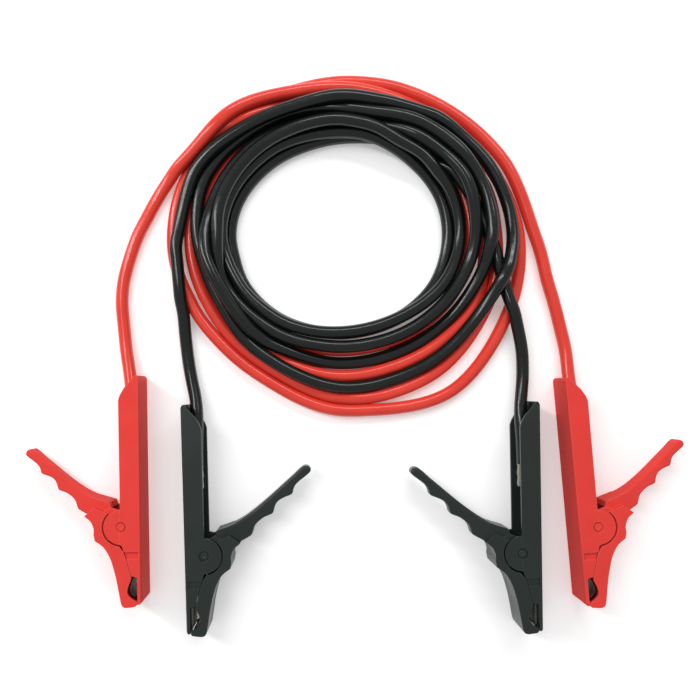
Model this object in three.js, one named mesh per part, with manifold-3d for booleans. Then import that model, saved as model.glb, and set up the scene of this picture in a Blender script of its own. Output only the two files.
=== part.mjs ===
// Car jumper cable set: a red lead and a black lead coiled together, with a spring clamp on each of
// their four ends, lying flat as they are stored. Millimetres, +Z up, +Y towards the coil,
// origin on the surface that the set lies on, at the middle of the four clamps.

import * as THREE from "three";
import { mergeVertices } from "three/addons/utils/BufferGeometryUtils.js";
import Module from "manifold-3d";

const wasm = await Module();
wasm.setup();

// Clamp, seen with its side wall on the ground. The pivot is at u = 0, v = 0; +u is towards the
// lever and +v towards the cable. Heights are measured from the ground.
const CLAMP_HEIGHT = 27;
const WALL = 2.2;
const RUNNING_GAP = 0.6;
const SEAT_GAP = 0.3;

// Housing: a channel that is the fixed handle and the fixed jaw in one moulding.
const SPINE_OUT = 12.8;
const SPINE_WALL = 2.5;
const SPINE_RADIUS = 3;
const CHANNEL_EDGE = 0.3;
const HANDLE_TOP = 98;
const HANDLE_CUT = 16;
const JAW_LENGTH = 50;
const EAR_RADIUS = 11.3;
const SLOT_TOP = 15.9;
const SLOT_BOTTOM = 20.5;
const SLOT_SPINE = 1.8;
const SLOT_DEPTH = 1.4;

// Gap for the battery post, between the two jaws.
const WINDOW_EDGE = 10;
const WINDOW_TOP = 32;
const WINDOW_BULGE = 3.3;
const PARTING_GAP = 0.4;

// Lever: moving jaw and finger handle in one moulding.
const LEVER_LENGTH = 51.9;
const JAW_TIP = 3.7;
const EAR_CLEARANCE = 1.1;
const SHOULDER_ANGLE = 47;
const CHEEK = 2.8;
const HUB_RADIUS = 9.4;
const HANDLE_THICK = 12;

// Finger handles: the black clamps' are a little longer than the red ones'.
const HANDLE_ROOT = 20;
const HANDLE_SPAN = 46;
const HANDLE_REACH = { red: 0.95, black: 1.05 };

// Pivot pin and torsion spring.
const PIN_RADIUS = 2;
const PIN_HEAD_RADIUS = 2.4;
const PIN_HEAD = 0.7;
const PIN_RECESS_RADIUS = 3.6;
const PIN_RECESS = 1.4;
const WIRE = 1.6;
const SPRING_TURNS = 4;
const SPRING_PITCH = 1.9;

// Contact strips and the crimp that holds the cable.
const STRIP = 0.8;
const STRIP_WIDTH = 14.6;
const CRIMP_FROM = 42;
const CRIMP_TO = 56.7;
const CRIMP_WALL = 0.9;
const CRIMP_OPENING = 15;

// Cables.
const CABLE_DIAMETER = 8.5;
const CABLE_SIDES = 10;
const LEG_STEPS = 16;

// Coils: the black turns lie over and inside the red ones.
const COIL_SEGMENTS = 48;
const LAYER = 8.5;
const BLACK_COIL = { x: -7.8, y: 172.3, inner: 70.5, step: 79, outer: 114, across: 0.87 };
const RED_COIL = { x: -1, y: 173.3, inner: 86.6, outer: 116.6, across: 0.985 };

// Where each clamp's pivot is, how far its handle leans left, and which side its lever is on.
const CLAMPS = [
  { name: "left_red", x: -151.2, y: -13.8, lean: 1, lever: "left", colour: "red" },
  { name: "left_black", x: -97.6, y: -32.4, lean: 1.5, lever: "right", colour: "black" },
  { name: "right_black", x: 107.9, y: -30.7, lean: 1, lever: "left", colour: "black" },
  { name: "right_red", x: 156.7, y: -13.7, lean: 5, lever: "right", colour: "red" },
];

// Cable routes from the crimp in each clamp to the coil.
const LEGS = {
  left_red: [
    [-147.2, 43.3, 13.5],
    [-147.6, 58.3, 12.6],
    [-148.2, 74.3, 10.2],
    [-150.4, 88, 7],
    [-153, 101.8, 4.8],
    [-155.2, 122.1, 4.4],
    [-156.1, 135.5, 4.4],
    [-154, 152.4, 4.4],
    [-146.6, 176, 4.4],
    [-139.9, 189.5, 4.4],
    [-132.5, 203, 4.4],
    [-123.1, 216.4, 4.4],
    [-112.4, 229.6, 4.4],
    [-103.2, 237.6, 4.4],
  ],
  left_black: [
    [-104.1, 24.4, 13.5],
    [-104.4, 39.4, 12.6],
    [-104.5, 55.4, 10.2],
    [-105.9, 68, 7],
    [-108.4, 79, 4.9],
    [-110.6, 90, 4.5],
    [-112.2, 102, 6.6],
    [-113.2, 113.5, 11.4],
    [-113.7, 125.8, 13.2],
  ],
  right_black: [
    [111.9, 26.4, 13.5],
    [111.5, 41.4, 12.6],
    [110.9, 57.4, 10.2],
    [112.2, 71, 7],
    [113.4, 84, 4.9],
    [113, 99, 5],
    [110.8, 110.5, 8.8],
    [108.2, 119.5, 12.6],
    [105.2, 129, 13.4],
    [102.1, 137.2, 13.4],
  ],
  right_red: [
    [146.7, 42.7, 13.5],
    [145.5, 57.6, 12.6],
    [144.4, 73.6, 10.2],
    [143.6, 87, 7],
    [142.6, 101.7, 4.8],
    [139.2, 117, 4.4],
    [134.5, 135.5, 4.4],
    [130.4, 149, 4.4],
    [126.4, 169.2, 4.4],
    [121, 192.8, 4.4],
    [115.6, 206.3, 4.4],
  ],
};

const PLASTICS = {
  red: { color: 0xd23a36, roughness: 0.42, metalness: 0 },
  black: { color: 0x242b29, roughness: 0.4, metalness: 0 },
};
const STEEL = { color: 0x9aa09c, roughness: 0.35, metalness: 1 };
const CABLES = {
  red: { color: 0xd8362c, roughness: 0.25, metalness: 0 },
  black: { color: 0x141716, roughness: 0.22, metalness: 0 },
};

const material = (finish) => new THREE.MeshStandardMaterial(finish);

// A closed solid from a geometry, and a geometry back from a solid.
function solid(geometry) {
  const bare = geometry.clone();
  bare.deleteAttribute("normal");
  bare.deleteAttribute("uv");
  const merged = mergeVertices(bare, 1e-4);
  return new wasm.Manifold(
    new wasm.Mesh({
      numProp: 3,
      vertProperties: merged.attributes.position.array,
      triVerts: new Uint32Array(merged.index.array),
    }),
  );
}

function geometryOf(body) {
  const mesh = body.getMesh();
  const geometry = new THREE.BufferGeometry();
  geometry.setAttribute("position", new THREE.BufferAttribute(mesh.vertProperties, 3));
  geometry.setIndex(new THREE.BufferAttribute(mesh.triVerts, 1));
  geometry.computeVertexNormals();
  return geometry;
}

const polygon = (points) => new THREE.Shape(points.map(([u, v]) => new THREE.Vector2(u, v)));

// Points on an arc about the pivot, in degrees from +u towards +v.
function arc(radius, from, to, steps) {
  const points = [];
  for (let i = 0; i <= steps; i += 1) {
    const angle = THREE.MathUtils.degToRad(from + ((to - from) * i) / steps);
    points.push([radius * Math.cos(angle), radius * Math.sin(angle)]);
  }
  return points;
}

// A plate of an outline in u and v, between two heights.
function plate(points, low, high) {
  const geometry = new THREE.ExtrudeGeometry(polygon(points), {
    depth: high - low,
    bevelEnabled: false,
  });
  return solid(geometry.translate(0, 0, low));
}

// A bar of a section in u and height, between two places along v.
function bar(points, from, to) {
  const geometry = new THREE.ExtrudeGeometry(polygon(points), {
    depth: to - from,
    bevelEnabled: false,
  });
  return solid(geometry.translate(0, 0, -to).rotateX(Math.PI / 2));
}

// A round solid about the pivot, from a profile of radii and heights that meets the axis.
function turned(profile, segments) {
  const points = profile.map(([r, h]) => new THREE.Vector2(r, h));
  return solid(new THREE.LatheGeometry(points, segments).rotateX(Math.PI / 2));
}

function drum(radius, low, high, segments = 20) {
  return turned([[0, low], [radius, low], [radius, high], [0, high]], segments);
}

// The line where the two jaws part, from the ear down to the gap for the post.
function partingLine(shift) {
  return [
    [-6.3 + shift, -WINDOW_TOP + 0.5],
    [-3.2 + shift, -SLOT_BOTTOM],
    [-1.7 + shift, -SLOT_TOP],
    [-0.4 + shift, -EAR_RADIUS - 0.6],
  ];
}

// Side outline of the housing, from the jaw's tip round the ear to the slanted cable end.
function housingOutline() {
  const tip = -JAW_LENGTH;
  return [
    [-SPINE_OUT, tip + 1.5],
    [-SPINE_OUT + 1.4, tip],
    [-WINDOW_EDGE, tip],
    [-WINDOW_EDGE, -WINDOW_TOP - 0.5],
    ...partingLine(0),
    ...arc(EAR_RADIUS, -86, 88.5, 14),
    [CHANNEL_EDGE, EAR_RADIUS + 0.5],
    [CHANNEL_EDGE, HANDLE_TOP - HANDLE_CUT],
    [-3.6, HANDLE_TOP - 8.5],
    [-9, HANDLE_TOP - 3.5],
    [-11.4, HANDLE_TOP],
    [-SPINE_OUT, HANDLE_TOP - 1],
  ];
}

// Section of the housing's outer form, with the spine's two long edges rounded.
function spineSection() {
  const outer = -SPINE_OUT;
  const r = SPINE_RADIUS;
  const corner = (height, from) =>
    arc(r, from, from + 90, 4).map(([u, h]) => [outer + r + u, height + h]);
  return [
    [EAR_RADIUS + 1, 0],
    [EAR_RADIUS + 1, CLAMP_HEIGHT],
    ...corner(CLAMP_HEIGHT - r, 90),
    ...corner(r, 180),
  ];
}

function pinHoles(body, radius) {
  return body.subtract(drum(radius, -1, CLAMP_HEIGHT + 1, 16));
}

function housingBody() {
  const form = plate(housingOutline(), 0, CLAMP_HEIGHT)
    .intersect(bar(spineSection(), -JAW_LENGTH - 1, HANDLE_TOP + 1));
  const inner = -SPINE_OUT + SPINE_WALL;
  const hollow = [
    [inner, WALL],
    [EAR_RADIUS + 2, WALL],
    [EAR_RADIUS + 2, CLAMP_HEIGHT - WALL],
    [inner, CLAMP_HEIGHT - WALL],
  ];
  const slotEdge = -SPINE_OUT + SLOT_SPINE;
  const slot = [
    [slotEdge, -SLOT_BOTTOM],
    [0, -SLOT_BOTTOM],
    [0, -SLOT_TOP],
    [slotEdge, -SLOT_TOP],
  ];
  const recess = drum(PIN_RECESS_RADIUS, -1, PIN_RECESS);
  const farRecess = drum(PIN_RECESS_RADIUS, CLAMP_HEIGHT - PIN_RECESS, CLAMP_HEIGHT + 1);
  const open = form
    .subtract(bar(hollow, -JAW_LENGTH + WALL, HANDLE_TOP + 2))
    .subtract(plate(slot, -1, SLOT_DEPTH))
    .subtract(plate(slot, CLAMP_HEIGHT - SLOT_DEPTH, CLAMP_HEIGHT + 1))
    .subtract(recess)
    .subtract(farRecess);
  return pinHoles(open, PIN_RADIUS + SEAT_GAP);
}

// Outer edge of the moving jaw, from its tip up to the first finger bump.
const JAW_EDGE = [
  [-8.6, -LEVER_LENGTH + 0.7],
  [-3, -LEVER_LENGTH],
  [-0.6, -LEVER_LENGTH + 0.7],
  [0.5, -LEVER_LENGTH + 2.5],
  [1.2, -LEVER_LENGTH + 5.9],
  [3.3, -LEVER_LENGTH + 17.9],
  [5.2, -26],
  [7.5, -19],
  [11.4, -12.6],
  [16.8, -8.5],
];

// Edge of the gap for the post on the moving jaw, from its top to the tip.
function bulge(shift) {
  const height = LEVER_LENGTH - JAW_TIP - WINDOW_TOP;
  const places = [[2.6, 0.12], [1, 0.34], [0, 0.59], [0.7, 0.74], [2.9, 0.88]];
  return places.map(([u, share]) => [shift - WINDOW_BULGE - u, -WINDOW_TOP - share * height]);
}

// Finger side of the lever's full width part, in the hollow after the first bump.
const FINGER_EDGE = [
  [17.6, -4.5],
  [17.5, -0.5],
  [19.4, 4.1],
  [23.5, 7.6],
];

// Top of the full width part, where it steps down to the narrower handle.
const STEP = [17, 13];

function leverJawOutline() {
  const tipEdge = -WINDOW_EDGE + PARTING_GAP;
  return [
    [tipEdge, -LEVER_LENGTH + 1.6],
    ...JAW_EDGE,
    ...FINGER_EDGE,
    STEP,
    ...arc(EAR_RADIUS + EAR_CLEARANCE, SHOULDER_ANGLE, -84, 14),
    ...partingLine(PARTING_GAP).reverse().slice(1),
    ...bulge(0),
    [tipEdge, -LEVER_LENGTH + JAW_TIP],
  ];
}

// Inside of the moving jaw, open towards the fixed jaw.
function leverHollow() {
  return [
    [-14, -LEVER_LENGTH + WALL],
    [-1.8, -LEVER_LENGTH + WALL],
    [1.2 - WALL, -LEVER_LENGTH + 5.9],
    [3.3 - WALL, -LEVER_LENGTH + 17.9],
    [5.2 - WALL, -26],
    [7.5 - WALL, -19.6],
    [7, -16.2],
    [3, -EAR_RADIUS - 1.8],
    [-14, -EAR_RADIUS - 1.8],
  ];
}

// Cheek that turns on the pin inside the housing's wall.
function cheekOutline() {
  return [
    ...arc(HUB_RADIUS, 105, 300, 14),
    [11, -9],
    [15, 0],
    [15, 9],
    [7, 12.2],
  ];
}

// Finger handle, with its scallops between the bumps, longer or shorter than the middle size.
function handleOutline(reach) {
  const middleSize = [
    [7, 12.2],
    [9.4, 10.2],
    [16, 8],
    [23.5, 7.6],
    [29.2, 10.7],
    [31.2, 14.6],
    [33.3, 18.4],
    [38, 22.3],
    [42.8, 24.2],
    [44.3, 27.6],
    [46.3, 31.4],
    [50.5, 34.2],
    [54.8, 35.8],
    [55.8, 38.4],
    [57.5, 41.5],
    [61.8, 45.4],
    [65.9, 48.6],
    [66.8, 50.7],
    [65.4, 53],
    [62.8, 53.3],
    [56, 48],
    [43.8, 37.4],
    [30, 26],
    [18, 18.9],
    [8, 15.6],
  ];
  return middleSize.map(([u, v]) => {
    const share = Math.max(0, (u - HANDLE_ROOT) / HANDLE_SPAN);
    const scale = 1 + (reach - 1) * share;
    return [u * scale, v * scale];
  });
}

function leverBody(reach) {
  const middle = CLAMP_HEIGHT / 2;
  const cheekLow = WALL + RUNNING_GAP;
  const cheekHigh = CLAMP_HEIGHT - cheekLow;
  const jaw = plate(leverJawOutline(), 0, CLAMP_HEIGHT)
    .subtract(plate(leverHollow(), WALL, CLAMP_HEIGHT - WALL));
  const body = jaw
    .add(plate(cheekOutline(), cheekLow, cheekLow + CHEEK))
    .add(plate(cheekOutline(), cheekHigh - CHEEK, cheekHigh))
    .add(plate(handleOutline(reach), middle - HANDLE_THICK / 2, middle + HANDLE_THICK / 2));
  return pinHoles(body, PIN_RADIUS + SEAT_GAP);
}

function pinBody() {
  const low = PIN_RECESS - SEAT_GAP - PIN_HEAD;
  const high = CLAMP_HEIGHT - low;
  return turned(
    [
      [0, low],
      [PIN_HEAD_RADIUS, low],
      [PIN_HEAD_RADIUS, low + PIN_HEAD],
      [PIN_RADIUS, low + PIN_HEAD],
      [PIN_RADIUS, high - PIN_HEAD],
      [PIN_HEAD_RADIUS, high - PIN_HEAD],
      [PIN_HEAD_RADIUS, high],
      [0, high],
    ],
    16,
  );
}

// A tube with flat ends along a smooth line through points.
function tube(points, radius, sides, steps) {
  const section = polygon(arc(radius, 0, 360 - 360 / sides, sides - 1));
  const places = points.map((place) => new THREE.Vector3(...place));
  const line = new THREE.CatmullRomCurve3(places, false, "centripetal");
  return new THREE.ExtrudeGeometry(section, { steps, extrudePath: line, bevelEnabled: false });
}

// Torsion spring round the pin, with one leg on the spine and one on the lever.
function springBody() {
  const radius = PIN_RADIUS + SEAT_GAP + WIRE / 2 + 0.1;
  const low = CLAMP_HEIGHT / 2 - (SPRING_TURNS * SPRING_PITCH) / 2;
  const legRest = -SPINE_OUT + SPINE_WALL + SEAT_GAP + STRIP + SEAT_GAP + WIRE / 2;
  const points = [
    [legRest, 15, low],
    [(legRest - radius) / 2, 7.5, low],
  ];
  const perTurn = 8;
  for (let i = 0; i <= SPRING_TURNS * perTurn - 3; i += 1) {
    const angle = Math.PI + (i / perTurn) * 2 * Math.PI;
    const height = low + (i / perTurn) * SPRING_PITCH;
    points.push([radius * Math.cos(angle), radius * Math.sin(angle), height]);
  }
  const high = low + SPRING_TURNS * SPRING_PITCH;
  points.push([5.6, 5.2, high], [8, 7.6, high]);
  return tube(points, WIRE / 2, 6, 60);
}

// Contact strip along the spine, with the crimp that holds the cable's core at its top.
function fixedContactBody() {
  const back = -SPINE_OUT + SPINE_WALL + SEAT_GAP;
  const low = (CLAMP_HEIGHT - STRIP_WIDTH) / 2;
  const strip = plate(
    [
      [back, -JAW_LENGTH + WALL + SEAT_GAP],
      [back + STRIP, -JAW_LENGTH + WALL + SEAT_GAP],
      [back + STRIP, CRIMP_TO],
      [back, CRIMP_TO],
    ],
    low,
    low + STRIP_WIDTH,
  );
  const middle = CLAMP_HEIGHT / 2;
  const outer = CABLE_DIAMETER / 2;
  const seam = 360 - CRIMP_OPENING;
  const ring = (radius, u) => arc(radius, 0, seam, 23).map(([x, y]) => [u + x, middle + y]);
  const centre = back + STRIP + outer - CRIMP_WALL / 2;
  const barrel = bar(ring(outer, centre), CRIMP_FROM, CRIMP_TO)
    .subtract(bar(ring(outer - CRIMP_WALL, centre), CRIMP_FROM - 1, CRIMP_TO - 4));
  return strip.add(barrel);
}

// Contact strip in the moving jaw, bent along the edge of the gap for the post and held between
// the jaw's side walls.
function movingContactBody() {
  const low = WALL + SEAT_GAP;
  const outer = bulge(SEAT_GAP + STRIP);
  const inner = bulge(SEAT_GAP);
  return plate([...outer, ...inner.reverse()], low, CLAMP_HEIGHT - low);
}

// One clamp, placed by its pivot: the lever is on the right, or turned over to be on the left.
function clamp({ name, x, y, lean, lever, colour }) {
  const placed = new THREE.Group();
  placed.position.set(x, y, 0);
  placed.rotation.z = THREE.MathUtils.degToRad(lean);
  const sided = new THREE.Group();
  if (lever === "left") {
    sided.rotation.y = Math.PI;
    sided.position.z = CLAMP_HEIGHT;
  }
  placed.add(sided);
  const add = (part, geometry, finish) => {
    const mesh = new THREE.Mesh(geometry, material(finish));
    mesh.name = `${name}_${part}`;
    sided.add(mesh);
  };
  add("housing", geometryOf(housingBody()), PLASTICS[colour]);
  add("lever", geometryOf(leverBody(HANDLE_REACH[colour])), PLASTICS[colour]);
  add("pivot_pin", geometryOf(pinBody()), PLASTICS[colour]);
  add("spring", springBody(), STEEL);
  add("fixed_contact", geometryOf(fixedContactBody()), STEEL);
  add("moving_contact", geometryOf(movingContactBody()), STEEL);
  return placed;
}

// The stretch of cable between a clamp's crimp and the coil.
function leg(name, colour) {
  const mesh = new THREE.Mesh(
    tube(LEGS[name], CABLE_DIAMETER / 2, CABLE_SIDES, LEG_STEPS),
    material(CABLES[colour]),
  );
  mesh.name = `${name}_cable`;
  return mesh;
}

// The wound turns of one colour, as one ring of their outer shape.
function coil(name, profile, place, colour) {
  const closed = [...profile, profile[0]].map(([r, h]) => new THREE.Vector2(r, h));
  const mesh = new THREE.Mesh(
    new THREE.LatheGeometry(closed, COIL_SEGMENTS).rotateX(Math.PI / 2),
    material(CABLES[colour]),
  );
  mesh.name = name;
  mesh.position.set(place.x, place.y, 0);
  mesh.scale.y = place.across;
  return mesh;
}

function blackCoil() {
  const { inner, step, outer } = BLACK_COIL;
  const over = LAYER + SEAT_GAP;
  const top = over + LAYER;
  const profile = [[inner, 0], [step, 0], [step, over], [outer, over], [outer, top], [inner, top]];
  return coil("black_coil", profile, BLACK_COIL, "black");
}

function redCoil() {
  const { inner, outer } = RED_COIL;
  return coil("red_coil", [[inner, 0], [outer, 0], [outer, LAYER], [inner, LAYER]], RED_COIL, "red");
}

const set = new THREE.Group();
for (const spec of CLAMPS) {
  set.add(clamp(spec));
  set.add(leg(spec.name, spec.colour));
}
set.add(blackCoil());
set.add(redCoil());

export default set;
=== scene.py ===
import math

import bmesh
import bpy
import numpy as np
from mathutils import Matrix, Vector


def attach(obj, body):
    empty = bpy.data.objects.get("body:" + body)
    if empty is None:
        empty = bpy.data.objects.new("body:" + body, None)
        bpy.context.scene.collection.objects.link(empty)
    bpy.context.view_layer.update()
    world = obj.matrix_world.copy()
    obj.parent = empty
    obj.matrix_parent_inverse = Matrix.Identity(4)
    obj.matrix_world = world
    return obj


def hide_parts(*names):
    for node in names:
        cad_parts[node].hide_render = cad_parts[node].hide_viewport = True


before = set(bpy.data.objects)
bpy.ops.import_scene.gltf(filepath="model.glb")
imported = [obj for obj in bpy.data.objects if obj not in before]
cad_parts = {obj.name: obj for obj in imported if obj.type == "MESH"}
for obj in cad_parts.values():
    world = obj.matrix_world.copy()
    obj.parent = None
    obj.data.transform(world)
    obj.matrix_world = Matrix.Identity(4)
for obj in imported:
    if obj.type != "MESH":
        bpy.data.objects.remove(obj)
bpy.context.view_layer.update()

# Camera: it looks straight down on the set from half a metre up, a little left of and below the
# middle of the picture, so that the clamps' inner sides show.
EYE = (-0.026, 0.0749, 0.51)
PICTURE_WIDTH = 0.476
SHIFT_RIGHT = 0.05
SHIFT_UP = 0.057
SENSOR_WIDTH = 36
camera = bpy.data.objects.new("camera", bpy.data.cameras.new("camera"))
camera.data.sensor_width = SENSOR_WIDTH
camera.data.lens = SENSOR_WIDTH * EYE[2] / PICTURE_WIDTH
camera.data.shift_x = SHIFT_RIGHT
camera.data.shift_y = SHIFT_UP
camera.data.clip_start = 0.01
camera.location = EYE
bpy.context.scene.collection.objects.link(camera)
bpy.context.scene.camera = camera

# Floor: plain and nearly white, with soft light from all round and two long soft lamps, which draw
# the bright lines along the cables.
FLOOR_COLOUR = (0.93, 0.93, 0.93, 1)
FLOOR_HALF_WIDTH = 4
FLOOR_GLOW = 0.22
WHITE = (1, 1, 1, 1)
SKY_STRENGTH = 0.55
LAMP_LENGTH = 1.2
LAMP_BREADTH = 0.14
LAMP_POWER = 7
LAMP_AIM = (0, 0.15, 0)


def lamp(name, place, wide, deep):
    light = bpy.data.lights.new(name, "AREA")
    light.shape = "RECTANGLE"
    light.size = wide
    light.size_y = deep
    light.energy = LAMP_POWER
    holder = bpy.data.objects.new(name, light)
    holder.location = place
    aim = Vector(LAMP_AIM) - Vector(place)
    holder.rotation_euler = aim.to_track_quat("-Z", "Y").to_euler()
    bpy.context.scene.collection.objects.link(holder)


floor_mesh = bmesh.new()
bmesh.ops.create_grid(floor_mesh, x_segments=1, y_segments=1, size=FLOOR_HALF_WIDTH)
floor_data = bpy.data.meshes.new("floor")
floor_mesh.to_mesh(floor_data)
floor_mesh.free()
floor = bpy.data.objects.new("floor", floor_data)
floor_paint = bpy.data.materials.new("floor_paint")
floor_paint.use_nodes = True
floor_shader = floor_paint.node_tree.nodes["Principled BSDF"]
floor_shader.inputs["Base Color"].default_value = FLOOR_COLOUR
floor_shader.inputs["Roughness"].default_value = 0.9
floor_shader.inputs["Specular IOR Level"].default_value = 0.1
floor_shader.inputs["Emission Color"].default_value = WHITE
floor_shader.inputs["Emission Strength"].default_value = FLOOR_GLOW
floor_data.materials.append(floor_paint)
bpy.context.scene.collection.objects.link(floor)

sky = bpy.data.worlds.new("sky")
sky.use_nodes = True
sky.node_tree.nodes["Background"].inputs["Color"].default_value = WHITE
sky.node_tree.nodes["Background"].inputs["Strength"].default_value = SKY_STRENGTH
bpy.context.scene.world = sky
bpy.context.scene.view_settings.view_transform = "Standard"
lamp("left_lamp", (-0.75, 0.5, 0.9), LAMP_BREADTH, LAMP_LENGTH)
lamp("top_lamp", (0.25, 1.0, 0.95), LAMP_LENGTH, LAMP_BREADTH)

# Leads: two lengths of stranded copper battery cable in soft glossy PVC, one red and one black.
# They are wound together by hand, the red turns mostly below, and end in the clamps' crimps.
# Routes are in millimetres; the turns are radii every 30 degrees, counted from the right.
CABLE_DIAMETER = 8.5
COIL_CENTRE = (-9.6, 177)
COIL_ACROSS = 1 / 1.17
TURN_POINTS = 12
POINT_SPACING = 5
LEFT_RED_LEG = [
    (-147.2, 43.3, 13.5), (-147.6, 58.3, 12.6), (-148.2, 74.3, 10.2), (-150.4, 88, 7),
    (-153, 101.8, 4.8), (-155.2, 122.1, 4.4), (-156.1, 135.5, 4.4), (-154, 152.4, 4.4),
    (-146.6, 176, 4.4), (-139.9, 189.5, 4.4), (-132.5, 203, 4.4), (-123.1, 216.4, 4.4),
]
LEFT_BLACK_LEG = [
    (-104.1, 24.4, 13.5), (-104.4, 39.4, 12.6), (-104.5, 55.4, 10.2), (-105.9, 68, 7),
    (-108.4, 79, 4.9), (-110.6, 90, 4.5), (-112.2, 102, 6.6), (-113.2, 113.5, 11.4),
    (-113.7, 125.8, 13.2),
]
RIGHT_BLACK_LEG = [
    (111.9, 26.4, 13.5), (111.5, 41.4, 12.6), (110.9, 57.4, 10.2), (112.2, 71, 7),
    (113.4, 84, 4.9), (113, 99, 5), (110.8, 110.5, 8.8), (108.2, 119.5, 12.6),
    (105.2, 129, 13.4), (102.1, 137.2, 13.4),
]
RIGHT_RED_LEG = [
    (146.7, 42.7, 13.5), (145.5, 57.6, 12.6), (144.4, 73.6, 10.2), (143.6, 87, 7),
    (142.6, 101.7, 4.8), (139.2, 117, 4.4), (134.5, 135.5, 4.4), (130.4, 149, 4.4),
]
BLACK_TURNS = [
    [99.5, 93, 85, 79.5, 76, 74.5, 74.5, 75, 75.5, 75, 74.5, 74.5],
    [73.5, 76, 80, 83.5, 82.5, 80.5, 79.5, 79.5, 79, 75, 74.5, 77.5],
    [80.5, 83.5, 86, 88.5, 86.5, 83.5, 83, 83.5, 84.5, 86, 86.5, 87],
    [90, 93, 93, 93, 92, 88, 87, 88, 95, 98.5, 98, 98],
    [100, 101.5, 99.5, 96, 98.5, 102.5, 93, 93, 104, 117, 114, 110.5],
    [114.5, 113.5, 108, 102.5, 102, 107, 108],
]
RED_TURNS = [
    [132.5, 126.5, 124.5, 123, 115.5, 106, 99, 101, 111.5, 127.5, 124.5, 113],
    [105.5, 102, 99, 95, 90, 86, 83, 83, 86, 88, 88, 88],
    [89, 91, 95, 98, 96, 94, 94, 95.5, 102, 109.5, 108, 105],
    [98, 101, 106, 111, 113, 113.5, 112, 113, 117, 133, 142.5, 129],
    [121, 115.5, 115.5, 115, 117.5, 118.5],
]


def wound(turns, lowest, rise):
    points = []
    for number, radius in enumerate(value for turn in turns for value in turn):
        angle = math.radians(360 / TURN_POINTS * number)
        height = lowest + rise * number / TURN_POINTS
        x = COIL_CENTRE[0] + radius * math.cos(angle)
        y = COIL_CENTRE[1] + radius * COIL_ACROSS * math.sin(angle)
        points.append((x, y, height))
    return points


# A smooth line through the points, with places at even spacing.
def even_line(points):
    points = np.array(points, float)
    ends = np.vstack([2 * points[0] - points[1], points, 2 * points[-1] - points[-2]])
    fine = []
    for a, b, c, d in zip(ends[:-3], ends[1:-2], ends[2:-1], ends[3:]):
        for t in np.linspace(0, 1, 24, endpoint=False):
            bend = (2 * a - 5 * b + 4 * c - d) * t * t + (3 * b - a - 3 * c + d) * t ** 3
            fine.append(b + 0.5 * ((c - a) * t + bend))
    fine.append(points[-1])
    fine = np.array(fine)
    along = np.append(0, np.cumsum(np.linalg.norm(np.diff(fine, axis=0), axis=1)))
    count = int(along[-1] / POINT_SPACING) + 1
    places = np.linspace(0, along[-1], count)
    return np.column_stack([np.interp(places, along, fine[:, k]) for k in range(3)])


# The leads drop on the floor and on each other: each point keeps near its route, bends smoothly,
# and is pushed away from any stretch of cable that it overlaps. The ends stay in the clamps.
SETTLING_STEPS = 760
CLAMPED_POINTS = 9
STIFFNESS = 0.45
ROUTE_PULL = 0.1
DROP = 0.08
PUSH_ROUNDS = 6
PUSH_SHARE = 0.25
SEARCH_MARGIN = 5
NEIGHBOURS = 5


def lay_down(routes):
    place = np.concatenate(routes)
    target = place.copy()
    lead = np.concatenate([np.full(len(route), k) for k, route in enumerate(routes)])
    order = np.arange(len(place))
    held = np.zeros(len(place), bool)
    for k in range(len(routes)):
        own = order[lead == k]
        held[own[:CLAMPED_POINTS]] = True
        held[own[-CLAMPED_POINTS:]] = True
    loose = (~held).astype(float)[:, None]
    inner = np.append(np.insert((lead[2:] == lead[:-2]), 0, False), False)[:, None] * loose
    other_lead = lead[:, None] != lead[None]
    far_along = abs(order[:, None] - order[None]) > NEIGHBOURS
    for step in range(SETTLING_STEPS):
        if step % 20 == 0:
            apart = np.linalg.norm(place[:, None] - place[None], axis=2)
            near = (apart < CABLE_DIAMETER + SEARCH_MARGIN) & (other_lead | far_along)
            one, two = np.nonzero(np.triu(near))
        for _ in range(2):
            strain = place - target * (1, 1, 0)
            middle = np.zeros_like(place)
            middle[1:-1] = (strain[:-2] + strain[2:]) / 2 - strain[1:-1]
            place += STIFFNESS * middle * inner
        place[:, :2] += ROUTE_PULL * (target - place)[:, :2] * loose
        place[:, 2] -= DROP * loose[:, 0]
        for _ in range(PUSH_ROUNDS):
            gap = place[one] - place[two]
            apart = np.linalg.norm(gap, axis=1) + 1e-6
            overlap = np.clip(CABLE_DIAMETER - apart, 0, None)
            push = gap * (overlap * PUSH_SHARE / apart)[:, None]
            for k in range(3):
                move = np.bincount(one, push[:, k], len(place))
                move -= np.bincount(two, push[:, k], len(place))
                place[:, k] += move * loose[:, 0]
            place[:, 2] = np.maximum(place[:, 2], CABLE_DIAMETER / 2)
    return [place[lead == k] for k in range(len(routes))]


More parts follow.
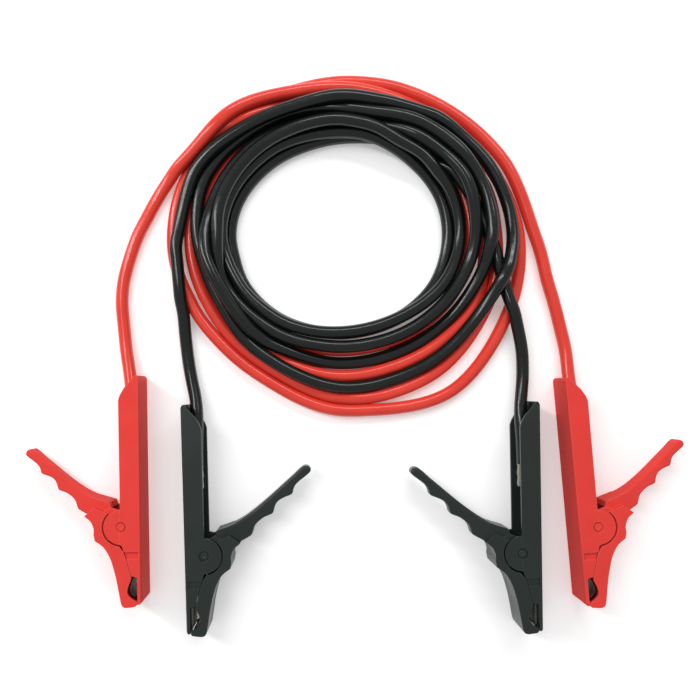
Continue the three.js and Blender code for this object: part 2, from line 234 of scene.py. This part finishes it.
# Glossy PVC: slightly cloudy colour, uneven sheen and a faint ripple.
def pvc(name, colour, deep_colour):
    paint = bpy.data.materials.new(name)
    paint.use_nodes = True
    nodes, links = paint.node_tree.nodes, paint.node_tree.links
    shader = nodes["Principled BSDF"]
    where = nodes.new("ShaderNodeTexCoord")
    cloud = nodes.new("ShaderNodeTexNoise")
    cloud.inputs["Scale"].default_value = 45
    cloud.inputs["Detail"].default_value = 4
    links.new(where.outputs["Object"], cloud.inputs["Vector"])
    tint = nodes.new("ShaderNodeMix")
    tint.data_type = "RGBA"
    tint.inputs[6].default_value = (*deep_colour, 1)
    tint.inputs[7].default_value = (*colour, 1)
    links.new(cloud.outputs["Fac"], tint.inputs["Factor"])
    links.new(tint.outputs[2], shader.inputs["Base Color"])
    scuff = nodes.new("ShaderNodeTexNoise")
    scuff.inputs["Scale"].default_value = 260
    scuff.inputs["Detail"].default_value = 6
    links.new(where.outputs["Object"], scuff.inputs["Vector"])
    sheen = nodes.new("ShaderNodeMapRange")
    sheen.inputs["From Min"].default_value = 0.3
    sheen.inputs["From Max"].default_value = 0.7
    sheen.inputs["To Min"].default_value = 0.14
    sheen.inputs["To Max"].default_value = 0.26
    links.new(scuff.outputs["Fac"], sheen.inputs["Value"])
    links.new(sheen.outputs["Result"], shader.inputs["Roughness"])
    ripple = nodes.new("ShaderNodeBump")
    ripple.inputs["Strength"].default_value = 0.12
    ripple.inputs["Distance"].default_value = 0.0004
    links.new(cloud.outputs["Fac"], ripple.inputs["Height"])
    links.new(ripple.outputs["Normal"], shader.inputs["Normal"])
    shader.inputs["Specular IOR Level"].default_value = 0.4
    return paint


def lead_curve(name, points, paint, nodes):
    curve = bpy.data.curves.new(name, "CURVE")
    curve.dimensions = "3D"
    curve.bevel_depth = CABLE_DIAMETER / 2000
    curve.bevel_resolution = 5
    curve.resolution_u = 2
    curve.use_fill_caps = True
    spline = curve.splines.new("NURBS")
    spline.points.add(len(points) - 1)
    for knot, place in zip(spline.points, points / 1000):
        knot.co = (*place, 1)
    spline.order_u = 4
    spline.use_endpoint_u = True
    curve.materials.append(paint)
    piece = bpy.data.objects.new(name, curve)
    bpy.context.scene.collection.objects.link(piece)
    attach(piece, "cable_set")
    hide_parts(*nodes)


black_route = [
    *RIGHT_BLACK_LEG, (97, 154, 13), *wound(BLACK_TURNS, 18, 3.4),
    (-117.5, 159, 32), (-115.5, 142, 25), *LEFT_BLACK_LEG[::-1],
]
red_route = [*RIGHT_RED_LEG, *wound(RED_TURNS, 4.4, 2.2), *LEFT_RED_LEG[::-1]]
black_line, red_line = lay_down([even_line(black_route), even_line(red_route)])
black_pvc = pvc("black_cable_pvc", (0.006, 0.009, 0.008), (0.003, 0.005, 0.0045))
red_pvc = pvc("red_cable_pvc", (0.8, 0.06, 0.035), (0.62, 0.03, 0.02))
lead_curve(
    "black_lead", black_line, black_pvc,
    ["right_black_cable", "left_black_cable", "black_coil"],
)
lead_curve(
    "red_lead", red_line, red_pvc,
    ["right_red_cable", "left_red_cable", "red_coil"],
)

# Housings: each is one moulding of satin plastic, a channel that is fixed handle, ear and fixed
# jaw, open towards the lever. Sizes are in millimetres from the pivot: u towards the lever,
# v towards the cable, heights from the floor. A clamp has its place, its lean, and its side up.
CLAMP_HEIGHT = 27
MID_HEIGHT = CLAMP_HEIGHT / 2
CLAMPS = [
    ("left_red", -151.2, -13.8, 1, True),
    ("left_black", -97.6, -32.4, 1.5, False),
    ("right_black", 107.9, -30.7, 1, True),
    ("right_red", 156.7, -13.7, 5, False),
]
SPINE = -12.8
SPINE_ROUNDING = 3
WALL = 2.2
EAR = 11.3
EAR_STEP = 0.5
SLOT_DEPTH = 1.4
PIN_RECESS = 3.6
PARTING_LINE = [(-6.3, -31.5), (-3.2, -20.5), (-1.7, -15.9), (-0.4, -11.9)]


def arc(radius, start, end, steps):
    angles = [math.radians(start + (end - start) * k / steps) for k in range(steps + 1)]
    return [(radius * math.cos(angle), radius * math.sin(angle)) for angle in angles]


def clamp_place(x, y, lean, turned_over):
    place = Matrix.Scale(0.001, 4) @ Matrix.Translation((x, y, 0))
    place = place @ Matrix.Rotation(math.radians(lean), 4, "Z")
    if turned_over:
        over = Matrix.Translation((0, 0, CLAMP_HEIGHT)) @ Matrix.Rotation(math.pi, 4, "Y")
        place = place @ over
    return place


# A flat outline raised from one height to another.
def plate(outline, low, high):
    shape = bmesh.new()
    rim = shape.faces.new([shape.verts.new((u, v, low)) for u, v in outline])
    raised = bmesh.ops.extrude_face_region(shape, geom=[rim])["geom"]
    lifted = [item for item in raised if isinstance(item, bmesh.types.BMVert)]
    bmesh.ops.translate(shape, verts=lifted, vec=(0, 0, high - low))
    bmesh.ops.recalc_face_normals(shape, faces=shape.faces)
    return shape


def as_object(shape, name):
    data = bpy.data.meshes.new(name)
    shape.to_mesh(data)
    shape.free()
    return bpy.data.objects.new(name, data)


# Cuts or joins other shapes, rounds the edges a little, and gives back one bmesh.
def worked(shape, cuts=(), joins=(), rounding=0.35):
    body = as_object(shape, "body")
    bpy.context.scene.collection.objects.link(body)
    tools = []
    for tool_shape, action in [(s, "UNION") for s in joins] + [(s, "DIFFERENCE") for s in cuts]:
        tool = as_object(tool_shape, "tool")
        bpy.context.scene.collection.objects.link(tool)
        tools.append(tool)
        step = body.modifiers.new("step", "BOOLEAN")
        step.operation = action
        step.solver = "EXACT"
        step.object = tool
    if rounding:
        ease = body.modifiers.new("ease", "BEVEL")
        ease.width = rounding
        ease.segments = 2
        ease.limit_method = "ANGLE"
        ease.angle_limit = math.radians(38)
        ease.miter_outer = "MITER_ARC"
    made = body.evaluated_get(bpy.context.evaluated_depsgraph_get())
    result = bmesh.new()
    result.from_mesh(made.to_mesh())
    made.to_mesh_clear()
    for item in [body, *tools]:
        bpy.data.objects.remove(item)
    return result


# Satin plastic: slightly cloudy colour, a painted highlight that makes rounded edges lighter, and
# a fine grain.
def moulded(name, colour, edge_highlight_colour, roughness, specular):
    paint = bpy.data.materials.new(name)
    paint.use_nodes = True
    nodes, links = paint.node_tree.nodes, paint.node_tree.links
    shader = nodes["Principled BSDF"]
    where = nodes.new("ShaderNodeTexCoord")
    cloud = nodes.new("ShaderNodeTexNoise")
    cloud.inputs["Scale"].default_value = 60
    cloud.inputs["Detail"].default_value = 5
    links.new(where.outputs["Object"], cloud.inputs["Vector"])
    tone = nodes.new("ShaderNodeMix")
    tone.data_type = "RGBA"
    tone.inputs[6].default_value = (*[c * 0.82 for c in colour], 1)
    tone.inputs[7].default_value = (*colour, 1)
    links.new(cloud.outputs["Fac"], tone.inputs["Factor"])
    # Painted highlight: the colour turns lighter on rounded edges, where light catches them.
    face = nodes.new("ShaderNodeNewGeometry")
    rounded = nodes.new("ShaderNodeBevel")
    rounded.samples = 6
    rounded.inputs["Radius"].default_value = 0.0009
    turn = nodes.new("ShaderNodeVectorMath")
    turn.operation = "DOT_PRODUCT"
    links.new(face.outputs["True Normal"], turn.inputs[0])
    links.new(rounded.outputs["Normal"], turn.inputs[1])
    sharp = nodes.new("ShaderNodeMapRange")
    sharp.inputs["From Min"].default_value = 0.99
    sharp.inputs["From Max"].default_value = 0.85
    sharp.inputs["To Max"].default_value = 0.45
    links.new(turn.outputs["Value"], sharp.inputs["Value"])
    painted_edge_highlight = nodes.new("ShaderNodeMix")
    painted_edge_highlight.data_type = "RGBA"
    painted_edge_highlight.inputs[7].default_value = (*edge_highlight_colour, 1)
    links.new(sharp.outputs["Result"], painted_edge_highlight.inputs["Factor"])
    links.new(tone.outputs[2], painted_edge_highlight.inputs[6])
    links.new(painted_edge_highlight.outputs[2], shader.inputs["Base Color"])
    grain = nodes.new("ShaderNodeTexNoise")
    grain.inputs["Scale"].default_value = 1900
    grain.inputs["Detail"].default_value = 3
    links.new(where.outputs["Object"], grain.inputs["Vector"])
    satin = nodes.new("ShaderNodeMapRange")
    satin.inputs["From Min"].default_value = 0.3
    satin.inputs["From Max"].default_value = 0.7
    satin.inputs["To Min"].default_value = roughness - 0.06
    satin.inputs["To Max"].default_value = roughness + 0.08
    links.new(cloud.outputs["Fac"], satin.inputs["Value"])
    links.new(satin.outputs["Result"], shader.inputs["Roughness"])
    shader.inputs["Specular IOR Level"].default_value = specular
    skin = nodes.new("ShaderNodeBump")
    skin.inputs["Strength"].default_value = 0.18
    skin.inputs["Distance"].default_value = 0.0001
    links.new(grain.outputs["Fac"], skin.inputs["Height"])
    links.new(skin.outputs["Normal"], shader.inputs["Normal"])
    return paint


# Puts a finished shape in its clamp as a piece that rides on a body and stands for its CAD node.
def fit_piece(shape, spec, part, body, paint, slot, crease=35):
    clamp, x, y, lean, turned_over = spec
    bmesh.ops.remove_doubles(shape, verts=shape.verts, dist=0.001)
    shape.transform(clamp_place(x, y, lean, turned_over))
    piece = as_object(shape, f"{clamp}_{part}_fine")
    piece.data.shade_smooth()
    piece.data.set_sharp_from_angle(angle=math.radians(crease))
    piece.data.materials.append(paint)
    bpy.context.scene.collection.objects.link(piece)
    shading = piece.modifiers.new("shading", "WEIGHTED_NORMAL")
    shading.keep_sharp = True
    shading.weight = 80
    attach(piece, body)
    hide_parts(f"{clamp}_{part}")


# Rounds some edges of a shape.
def eased(shape, edges, width, segments):
    bmesh.ops.bevel(
        shape, geom=edges, offset=width, segments=segments, profile=0.5, affect="EDGES",
        material=-1,
    )


# The same outline cut into both side walls, to the same depth.
def both_sides(outline, depth):
    return [plate(outline, -1, depth), plate(outline, CLAMP_HEIGHT - depth, CLAMP_HEIGHT + 1)]


def housing_shape():
    outline = [
        (SPINE, -48.5), (-11.4, -50), (-10, -50), (-10, -32.5), *PARTING_LINE,
        *arc(EAR, -86, 88.5, 28), (0.3, 11.8), (0.3, 82), (-0.9, 85.4), (-3.4, 89.6),
        (-6.3, 92.8), (-8.6, 95.4), (-9.8, 97.3), (-10.8, 98), (-11.8, 97.6), (-12.6, 96.2),
        (SPINE, 94.4),
    ]
    shape = plate(outline, 0, CLAMP_HEIGHT)
    spine_edges = [
        edge for edge in shape.edges
        if all(vert.co.x < SPINE + 0.01 for vert in edge.verts)
        and abs(edge.verts[0].co.y - edge.verts[1].co.y) > 50
    ]
    eased(shape, spine_edges, SPINE_ROUNDING, 5)
    inside = [(-10.3, -47.8), (13.3, -47.8), (13.3, 100), (-10.3, 100)]
    slot = [(-11, -20.5), (2, -20.5), (2, -15.9), (-11, -15.9)]
    beside_ear = [(0.9, -13), (13, -13), (13, 13), (0.9, 13)]
    slot_cuts = both_sides(slot, SLOT_DEPTH)
    pin_cuts = both_sides(arc(PIN_RECESS, 0, 348, 29), SLOT_DEPTH)
    cuts = [
        plate(inside, WALL, CLAMP_HEIGHT - WALL), slot_cuts[0], pin_cuts[0], slot_cuts[1],
        pin_cuts[1], *both_sides(beside_ear, EAR_STEP),
    ]
    return worked(shape, cuts=cuts)


# Each plastic's second colour is the painted highlight on its rounded edges.
red_plastic = moulded("red_clamp_plastic", (0.8, 0.06, 0.05), (0.9, 0.2, 0.16), 0.5, 0.03)
black_plastic = moulded(
    "black_clamp_plastic", (0.016, 0.023, 0.021), (0.06, 0.08, 0.07), 0.36, 0.32,
)
PLASTICS = {
    "red": (red_plastic, "red_clamp_plastic"),
    "black": (black_plastic, "black_clamp_plastic"),
}


def colour_of(spec):
    return spec[0].split("_")[1]


for spec in CLAMPS:
    fit_piece(housing_shape(), spec, "housing", "cable_set", *PLASTICS[colour_of(spec)])

# Levers: moving jaw and finger handle in one moulding. The jaw is hollow and as wide as the
# housing, its two cheeks turn on the pin inside the housing, and the handle is narrower, with
# a scallop for each finger.
FINGER_HOLLOW = [(17.6, -4.5), (17.5, -0.5), (19.4, 4.1), (23.5, 7.6)]
HANDLE_REACH = {"red": 0.95, "black": 1.05}
HANDLE_ROOT = 20
HANDLE_SPAN = 46
HANDLE_LOW = 7.5
HANDLE_HIGH = 19.5
HANDLE_ROUNDING = 1.6
SWELL_END = 33
SWELL_LENGTH = 18
SWELL = 0.5
CHEEKS = ((2.8, 5.6), (21.4, 24.2))
PIN_BORE = 2.3
WINDOW_SIDE = [(-5.9, -34), (-4.3, -37.5), (-3.3, -41.5), (-4, -44), (-6.2, -46.3)]


# A smooth line through a few points of an outline.
def rounded_line(points, steps=4):
    ends = [points[0], *points, points[-1]]
    line = []
    for a, b, c, d in zip(ends[:-3], ends[1:-2], ends[2:-1], ends[3:]):
        for k in range(steps):
            t = k / steps
            place = [
                q + 0.5 * ((r - p) * t + (2 * p - 5 * q + 4 * r - s) * t * t
                           + (3 * q - p - 3 * r + s) * t ** 3)
                for p, q, r, s in zip(a, b, c, d)
            ]
            line.append(tuple(place))
    return [*line, points[-1]]


def lever_shape(reach):
    jaw_edge = [
        (-8.6, -51.2), (-3, -51.9), (-0.6, -51.2), (0.5, -49.4), (1.2, -46), (3.3, -34),
        (5.2, -26), (7.5, -19), (11.4, -12.6), (16.8, -8.5),
    ]
    jaw = plate([
        (-9.6, -50.3), *rounded_line(jaw_edge), *rounded_line(FINGER_HOLLOW), (17, 13),
        *arc(EAR + 1.1, 47, -84, 26), (-1.3, -15.9), (-2.8, -20.5), (-5.9, -31.5),
        *rounded_line(WINDOW_SIDE), (-9.6, -48.2),
    ], 0, CLAMP_HEIGHT)
    hollow = [
        (-14, -49.7), (-1.8, -49.7), (-1, -46), (1.1, -34), (3, -26), (5.3, -19.6),
        (7, -16.2), (3, -13.1), (-14, -13.1),
    ]
    finger_edge = [
        (23.5, 7.6), (29.2, 10.7), (30.6, 12.4), (31.6, 15.8), (33.6, 18.9), (38, 22.3),
        (42.8, 24.2), (44, 25.8), (44.8, 28.8), (46.8, 32), (50.5, 34.2), (54.8, 35.8),
        (55.9, 37.2), (56.6, 39.8), (58.4, 42.6), (61.8, 45.4), (65.9, 48.6), (66.9, 50.7),
        (65.6, 52.9), (62.8, 53.3), (60, 51.4),
    ]
    back_edge = [(56, 47.6), (49, 41.6), (38, 32.2), (26.5, 23.6), (18, 18.9), (12, 16.8)]
    handle_outline = [
        (7, 12.2), (9.4, 10.2), (16, 8), *rounded_line(finger_edge, 3),
        *rounded_line(back_edge, 3), (8, 15.6),
    ]
    scales = [1 + (reach - 1) * max(0, (u - HANDLE_ROOT) / HANDLE_SPAN) for u, v in handle_outline]
    handle = plate(
        [(u * k, v * k) for (u, v), k in zip(handle_outline, scales)], HANDLE_LOW, HANDLE_HIGH,
    )
    long_edges = [
        edge for edge in handle.edges
        if abs(edge.verts[0].co.z - edge.verts[1].co.z) < 0.1 and edge.verts[0].co.x > 17
        and edge.verts[1].co.x > 17
    ]
    eased(handle, long_edges, HANDLE_ROUNDING, 4)
    # The handle widens towards its root, so it is cut across in a few places and stretched there.
    for place in range(12, SWELL_END, 4):
        bmesh.ops.bisect_plane(
            handle, geom=handle.verts[:] + handle.edges[:] + handle.faces[:],
            plane_co=(place, 0, 0), plane_no=(1, 0, 0), dist=0.001,
        )
    for vert in handle.verts:
        swell = 1 + SWELL * min(1, max(0, (SWELL_END - vert.co.x) / SWELL_LENGTH)) ** 1.6
        vert.co.z = MID_HEIGHT + (vert.co.z - MID_HEIGHT) * swell
    cheek = [*arc(9.4, 105, 300, 20), (11, -9), (15, 0), (15, 9), (7, 12.2)]
    joins = [plate(cheek, low, high) for low, high in CHEEKS] + [handle]
    cuts = [
        plate(hollow, WALL, CLAMP_HEIGHT - WALL),
        plate(arc(PIN_BORE, 0, 340, 17), -1, CLAMP_HEIGHT + 1),
    ]
    return worked(jaw, cuts=cuts, joins=joins, rounding=0.4)


for spec in CLAMPS:
    lever = lever_shape(HANDLE_REACH[colour_of(spec)])
    fit_piece(lever, spec, "lever", f"{spec[0]}_jaw", *PLASTICS[colour_of(spec)])

# Pivot pins: plastic pins with a low head in a round recess on each side, turned profiles with
# a small dimple where they were moulded.
def pin_shape():
    profile = [
        (0, 0.75), (0.5, 0.72), (0.85, 0.45), (1.2, 0.4), (2.1, 0.4), (2.4, 0.65), (2.4, 1.1),
        (2, 1.1), (2, MID_HEIGHT),
    ]
    shape = bmesh.new()
    line = [shape.verts.new((r, 0, h)) for r, h in profile]
    edges = [shape.edges.new(pair) for pair in zip(line[:-1], line[1:])]
    bmesh.ops.spin(
        shape, geom=line + edges, cent=(0, 0, 0), axis=(0, 0, 1), angle=2 * math.pi, steps=32,
        use_merge=True,
    )
    bmesh.ops.mirror(
        shape, geom=shape.verts[:] + shape.edges[:] + shape.faces[:],
        matrix=Matrix.Translation((0, 0, -MID_HEIGHT)), merge_dist=0.001, axis="Z",
    )
    bmesh.ops.remove_doubles(shape, verts=shape.verts, dist=0.001)
    bmesh.ops.recalc_face_normals(shape, faces=shape.faces)
    return shape


for spec in CLAMPS:
    fit_piece(pin_shape(), spec, "pivot_pin", "cable_set", *PLASTICS[colour_of(spec)])

# Springs: drawn steel wire wound round each pin, hidden between the cheeks, with one leg on the
# housing's spine and one towards the lever.
WIRE_RADIUS = 0.8
SPRING_RADIUS = 3.2
SPRING_FOOT = 9.7
SPRING_TURNS = 3.62
SPRING_PITCH = 1.9
SPRING_STEPS = 116


# Drawn or rolled metal: fine lines in tone, gloss and height.
def metal(name, colour, roughness, scratch_scale):
    paint = bpy.data.materials.new(name)
    paint.use_nodes = True
    nodes, links = paint.node_tree.nodes, paint.node_tree.links
    shader = nodes["Principled BSDF"]
    shader.inputs["Metallic"].default_value = 1
    where = nodes.new("ShaderNodeTexCoord")
    stretch = nodes.new("ShaderNodeMapping")
    stretch.inputs["Scale"].default_value = (1, 0.15, 1)
    links.new(where.outputs["Object"], stretch.inputs["Vector"])
    lines = nodes.new("ShaderNodeTexNoise")
    lines.inputs["Scale"].default_value = scratch_scale
    lines.inputs["Detail"].default_value = 5
    links.new(stretch.outputs["Vector"], lines.inputs["Vector"])
    tone = nodes.new("ShaderNodeMix")
    tone.data_type = "RGBA"
    tone.inputs[6].default_value = (*[c * 0.7 for c in colour], 1)
    tone.inputs[7].default_value = (*colour, 1)
    links.new(lines.outputs["Fac"], tone.inputs["Factor"])
    links.new(tone.outputs[2], shader.inputs["Base Color"])
    gloss = nodes.new("ShaderNodeMapRange")
    gloss.inputs["To Min"].default_value = roughness - 0.08
    gloss.inputs["To Max"].default_value = roughness + 0.12
    links.new(lines.outputs["Fac"], gloss.inputs["Value"])
    links.new(gloss.outputs["Result"], shader.inputs["Roughness"])
    scratch = nodes.new("ShaderNodeBump")
    scratch.inputs["Strength"].default_value = 0.15
    scratch.inputs["Distance"].default_value = 0.0001
    links.new(lines.outputs["Fac"], scratch.inputs["Height"])
    links.new(scratch.outputs["Normal"], shader.inputs["Normal"])
    return paint


# A ring of points that faces along v, with its middle at a place.
def upright_ring(shape, segments, radius, place):
    ring = bmesh.ops.create_circle(
        shape, segments=segments, radius=radius, cap_ends=False,
    )["verts"]
    quarter_turn = Matrix.Rotation(math.pi / 2, 3, "X")
    bmesh.ops.rotate(shape, verts=ring, cent=(0, 0, 0), matrix=quarter_turn)
    bmesh.ops.translate(shape, verts=ring, vec=place)
    return ring


# Draws a tube out by one step, and gives back its new rim.
def pulled_on(shape, edges, move):
    pulled = bmesh.ops.extrude_edge_only(shape, edges=edges)["geom"]
    verts = [item for item in pulled if isinstance(item, bmesh.types.BMVert)]
    bmesh.ops.translate(shape, verts=verts, vec=move)
    return verts, [item for item in pulled if isinstance(item, bmesh.types.BMEdge)]


def spring_shape():
    shape = bmesh.new()
    ring = upright_ring(shape, 12, WIRE_RADIUS, (-SPRING_RADIUS, 0, SPRING_FOOT))
    start = shape.edges[:]
    wound_wire = bmesh.ops.spin(
        shape, geom=ring + start, cent=(0, 0, 0), axis=(0, 0, 1),
        angle=2 * math.pi * SPRING_TURNS, steps=SPRING_STEPS,
        dvec=(0, 0, SPRING_PITCH * SPRING_TURNS / SPRING_STEPS),
    )["geom_last"]
    last = [item for item in wound_wire if isinstance(item, bmesh.types.BMEdge)]
    for edges, way in ((start, [(-1.6, 5, 0), (-3, 9, 0)]), (last, [(1.2, 1.4, 0), (3, 3, 0)])):
        for move in way:
            verts, edges = pulled_on(shape, edges, move)
        bmesh.ops.holes_fill(shape, edges=edges, sides=0)
    bmesh.ops.remove_doubles(shape, verts=shape.verts, dist=0.001)
    bmesh.ops.recalc_face_normals(shape, faces=shape.faces)
    return shape


steel_wire = metal("spring_steel", (0.5, 0.52, 0.51), 0.32, 700)
for spec in CLAMPS:
    fit_piece(spring_shape(), spec, "spring", "cable_set", steel_wire, "spring_steel", crease=60)

# Fixed contacts: plated steel strips along each spine, with teeth in the jaw, and a crimped
# barrel at the top that holds the cable's core.
CONTACT_LOW = 6.2
CONTACT_HIGH = 20.8
TOOTH_PITCH = 2.1
BARREL_RADIUS = 4.2
BARREL_MIDDLE = -5.4
BARREL_START = 42
CRIMP_PINCH = 0.9


def fixed_contact_shape():
    teeth = []
    for k in range(6):
        teeth += [(-9.2, -35 - TOOTH_PITCH * k), (-8.3, -36.1 - TOOTH_PITCH * k)]
    strip = plate(
        [(-10, 56.7), (-9.2, 56.7), (-9.2, -34), *teeth, (-9.2, -47.5), (-10, -47.5)],
        CONTACT_LOW, CONTACT_HIGH,
    )
    for gap in (9.6, 17.4):
        groove = plate([(-9, -48), (-8, -48), (-8, -34), (-9, -34)], gap - 0.5, gap + 0.5)
        strip = worked(strip, cuts=[groove], rounding=0)
    barrel = bmesh.new()
    upright_ring(barrel, 40, BARREL_RADIUS, (BARREL_MIDDLE, BARREL_START, MID_HEIGHT))
    edges = barrel.edges[:]
    middle = Matrix.Translation((-BARREL_MIDDLE, 0, -MID_HEIGHT))
    for step, pinch in (
        (1.5, 1 / CRIMP_PINCH), (4.6, CRIMP_PINCH), (2.6, 1 / CRIMP_PINCH), (4.6, CRIMP_PINCH),
        (1.4, 1 / CRIMP_PINCH),
    ):
        verts, edges = pulled_on(barrel, edges, (0, step, 0))
        bmesh.ops.scale(barrel, verts=verts, vec=(pinch, 1, pinch), space=middle)
    bmesh.ops.recalc_face_normals(barrel, faces=barrel.faces)
    bmesh.ops.solidify(barrel, geom=barrel.faces[:], thickness=0.4)
    joined = as_object(barrel, "barrel")
    strip.from_mesh(joined.data)
    bpy.data.objects.remove(joined)
    return strip


plated = metal("plated_steel", (0.34, 0.34, 0.31), 0.38, 500)
for spec in CLAMPS:
    fit_piece(fixed_contact_shape(), spec, "fixed_contact", "cable_set", plated, "plated_steel")

# Moving contacts: short plated strips bent along the edge of each gap for the battery post, and
# held between the moving jaw's side walls.
def moving_contact_shape():
    line = rounded_line(WINDOW_SIDE, 5)
    outer = [(u - 1.1, v) for u, v in line]
    inner = [(u - 0.3, v) for u, v in line]
    return worked(plate([*outer, *inner[::-1]], CONTACT_LOW, CONTACT_HIGH), rounding=0.15)


for spec in CLAMPS:
    strip = moving_contact_shape()
    fit_piece(strip, spec, "moving_contact", f"{spec[0]}_jaw", plated, "plated_steel")
